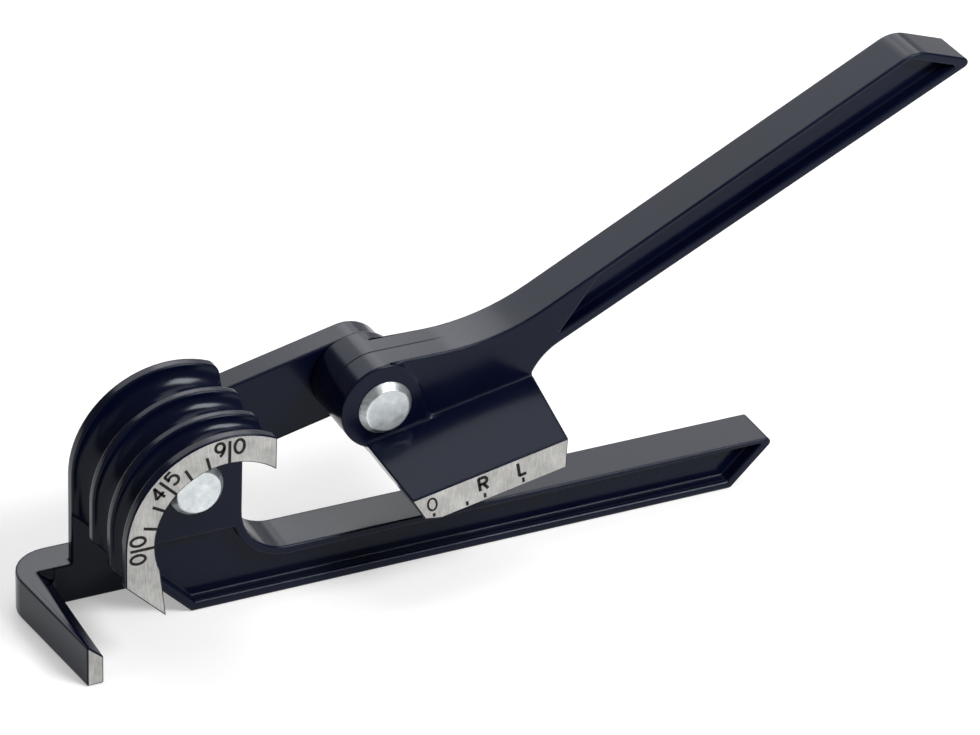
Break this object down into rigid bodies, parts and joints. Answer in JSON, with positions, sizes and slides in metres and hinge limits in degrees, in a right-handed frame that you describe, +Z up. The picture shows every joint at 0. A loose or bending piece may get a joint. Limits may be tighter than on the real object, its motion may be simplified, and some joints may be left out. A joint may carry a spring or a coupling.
{
  "type": "pipe bender",
  "caption": "Hand lever bender for small metal tube: a handle with a grooved drum and hook, a riveted link, and a cranked handle with a grooved shoe.",
  "frame": {"origin": "on the flat underside of the lower handle, under the drum's axis, at mid depth of that handle", "axes": "+X along the lower handle from the drum to its free end, +Y from the scale side to the link side, +Z up from the underside"},
  "size_m": [0.2289, 0.045, 0.1073],
  "materials": {
    "casting_paint": "gloss blue-black stoving enamel over die casting",
    "bare_aluminium": "machined faces left bare, finely brushed",
    "mark_ink": "black paint rubbed into the scale marks",
    "rivet_zinc": "bright zinc, slightly mottled",
    "washer_steel": "plain rolled steel"
  },
  "bodies": {
    "lower_handle": {"lower_handle": "casting_paint", "drum_friction_washer": "washer_steel"},
    "link": {"link_bar": "casting_paint", "drum_rivet": "rivet_zinc", "drum_tail_washer": "washer_steel", "shoe_rivet": "rivet_zinc", "shoe_tail_washer": "washer_steel", "shoe_friction_washer": "washer_steel"},
    "upper_handle": {"upper_handle": "casting_paint"}
  },
  "joints": [
    {"name": "link_pivot", "type": "hinge", "parent": "lower_handle", "child": "link", "pos_m": [0, 0, 0.0325], "axis": [0, -1, 0], "range_deg": [-8, 166.75]},
    {"name": "handle_pivot", "type": "hinge", "parent": "link", "child": "upper_handle", "pos_m": [0.04565, 0, 0.04325], "axis": [0, -1, 0], "range_deg": [-88, 4.3]}
  ],
  "couplings": [
    {"joint": "handle_pivot", "follows": "link_pivot", "ratio": -0.52744}
  ]
}
